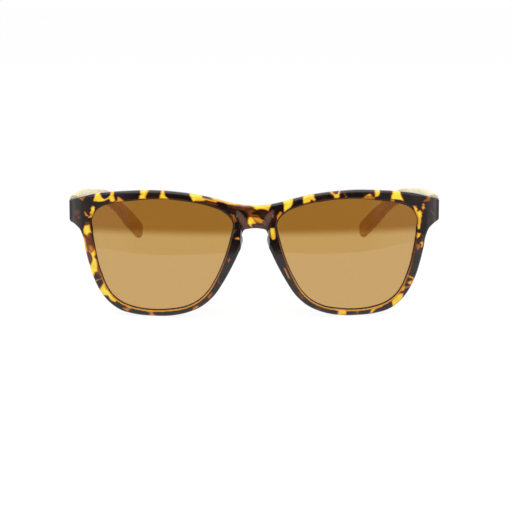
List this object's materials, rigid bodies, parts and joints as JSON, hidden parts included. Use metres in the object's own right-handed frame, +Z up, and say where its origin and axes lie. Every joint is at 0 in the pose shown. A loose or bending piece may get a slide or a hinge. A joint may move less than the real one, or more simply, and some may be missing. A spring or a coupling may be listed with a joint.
{
  "type": "folding sunglasses",
  "caption": "Sunglasses with a rounded tortoiseshell front, saddle bridge, brown lenses, flat bamboo temples and sprung barrel hinges.",
  "frame": {"origin": "middle of the bounding box at the height of the table, with the glasses open and standing on the rims and the temple tips", "axes": "+X across the face from the left temple to the right one as seen from the front, +Y back along the temples, +Z up"},
  "size_m": [0.1472, 0.1584, 0.0498],
  "materials": {
    "tortoise": "polished, mottled yellow, brown and black",
    "lens": "polished brown tint, darker above",
    "bamboo": "satin lacquer",
    "hinge_metal": "satin nickel",
    "screw_metal": "polished",
    "stop_nut": "turned",
    "spring_steel": "drawn wire",
    "washer": "natural nylon"
  },
  "bodies": {
    "front": {"front_frame": "tortoise", "right_lens": "lens", "left_lens": "lens", "right_front_hinge": "hinge_metal", "right_hinge_screw": "screw_metal", "right_hinge_washers": "washer", "left_front_hinge": "hinge_metal", "left_hinge_screw": "screw_metal", "left_hinge_washers": "washer"},
    "right_slider": {"right_hinge_tongue": "hinge_metal", "right_spring_stop": "stop_nut"},
    "left_slider": {"left_hinge_tongue": "hinge_metal", "left_spring_stop": "stop_nut"},
    "right_arm": {"right_temple": "bamboo", "right_spring_housing": "hinge_metal", "right_housing_screws": "screw_metal", "right_slider_spring": "spring_steel"},
    "left_arm": {"left_temple": "bamboo", "left_spring_housing": "hinge_metal", "left_housing_screws": "screw_metal", "left_slider_spring": "spring_steel"}
  },
  "joints": [
    {"name": "right_fold", "type": "hinge", "parent": "front", "child": "right_slider", "pos_m": [0.06785, -0.05924, 0.04045], "axis": [0, 0.0695, 0.9976], "range_deg": [0, 85]},
    {"name": "left_fold", "type": "hinge", "parent": "front", "child": "left_slider", "pos_m": [-0.06785, -0.05924, 0.04045], "axis": [0, -0.0695, -0.9976], "range_deg": [0, 80]},
    {"name": "right_spring_slide", "type": "slide", "parent": "right_slider", "child": "right_arm", "axis": [-0.0976, 0.9928, -0.0691], "range_m": [0, 0.0012], "stiffness_N_per_m": 2000, "springref_m": -0.001, "deforming": ["right_slider_spring"]},
    {"name": "left_spring_slide", "type": "slide", "parent": "left_slider", "child": "left_arm", "axis": [0.0976, 0.9928, -0.0691], "range_m": [0, 0.0012], "stiffness_N_per_m": 2000, "springref_m": -0.001, "deforming": ["left_slider_spring"]}
  ]
}
